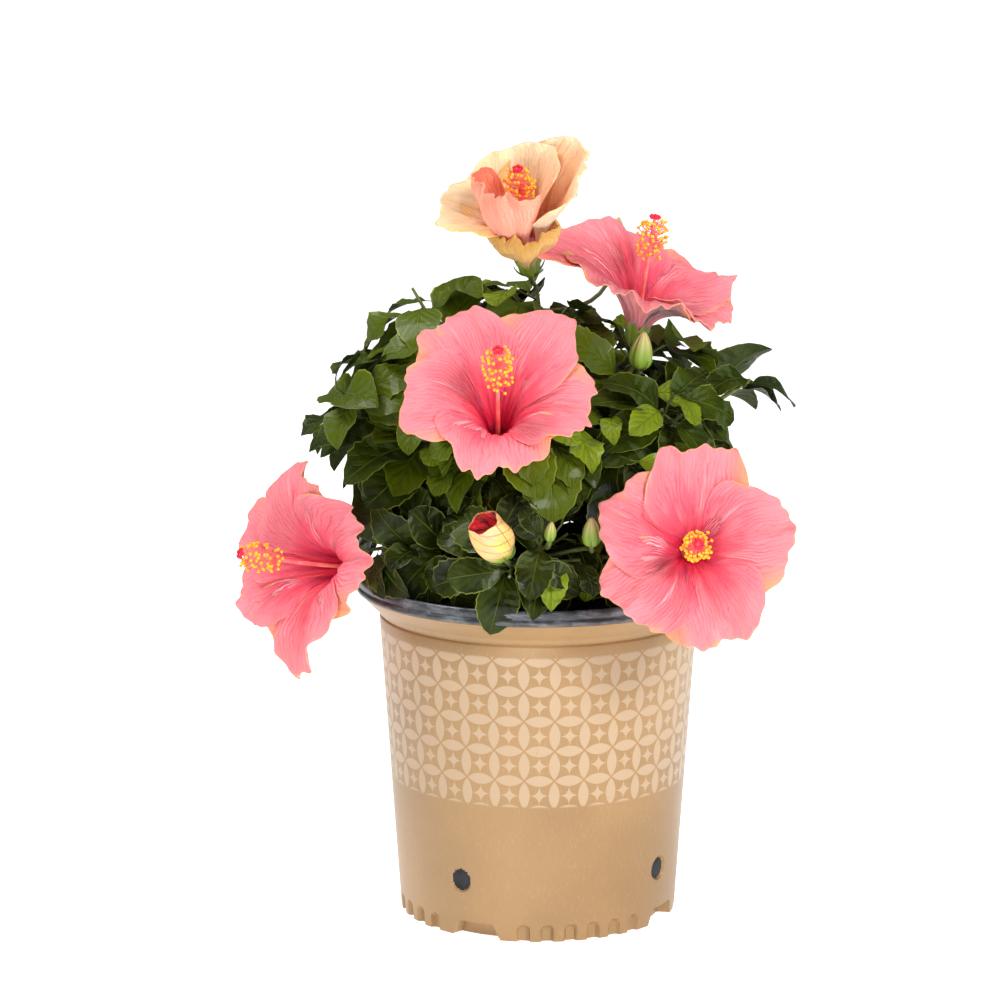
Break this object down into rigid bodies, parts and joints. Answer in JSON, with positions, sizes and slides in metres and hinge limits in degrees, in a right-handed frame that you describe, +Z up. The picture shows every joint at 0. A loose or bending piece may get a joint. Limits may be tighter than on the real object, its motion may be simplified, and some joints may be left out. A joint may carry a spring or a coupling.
{
  "type": "potted hibiscus shrub",
  "caption": "Flowering hibiscus shrub with a short branching stem, leafy crown, large open blooms and buds, standing in a tapered plastic nursery pot.",
  "frame": {"origin": "centre of the pot's flat underside", "axes": "+Z up along the pot's axis, -Y towards the side that the picture shows, +X to the right as seen in the picture"},
  "size_m": [0.362, 0.3223, 0.5316],
  "materials": {
    "pot_plastic": "satin moulded tan plastic with a pale printed band",
    "liner_plastic": "satin black plastic, paler on the rolled lip",
    "potting_mix": "loose, matte, dark bark-based mix",
    "bark": "matte grey-brown bark, greener on the boughs",
    "foliage": "glossy dark green leaves, paler underneath",
    "petal": "soft pink petals with a crimson throat",
    "faded_petal": "wilting peach and apricot petals",
    "open_bud": "yellow petals rolled round a crimson mouth",
    "green_bud": "matte yellow-green sepals"
  },
  "bodies": {
    "root": {"pot": "pot_plastic", "liner_pot": "liner_plastic", "soil": "potting_mix", "trunk": "bark", "bough_front_low": "bark", "bough_right_front_low": "bark", "bough_back_right_low": "bark", "bough_back_low": "bark", "bough_back_left_low": "bark", "bough_left_front_low": "bark", "bough_front_middle": "bark", "bough_left_middle": "bark", "bough_right_middle": "bark", "bough_back_right_middle": "bark", "bough_back_left_middle": "bark", "bough_left_top": "bark", "bough_right_top": "bark", "bough_top": "bark", "bough_right_shoot": "bark", "mass_front_low": "foliage", "mass_right_front_low": "foliage", "mass_back_right_low": "foliage", "mass_back_low": "foliage", "mass_back_left_low": "foliage", "mass_left_front_low": "foliage", "mass_front_middle": "foliage", "mass_left_middle": "foliage", "mass_right_middle": "foliage", "mass_back_right_middle": "foliage", "mass_back_left_middle": "foliage", "mass_left_top": "foliage", "mass_right_top": "foliage", "mass_top": "foliage", "mass_right_shoot": "foliage", "bloom_front": "petal", "bloom_right": "petal", "bloom_left": "petal", "bloom_upper_right": "petal", "bloom_top": "faded_petal", "bud_open": "open_bud", "bud_side": "green_bud", "bud_upper": "green_bud", "bud_right": "green_bud", "bud_small": "green_bud"}
  },
  "joints": []
}
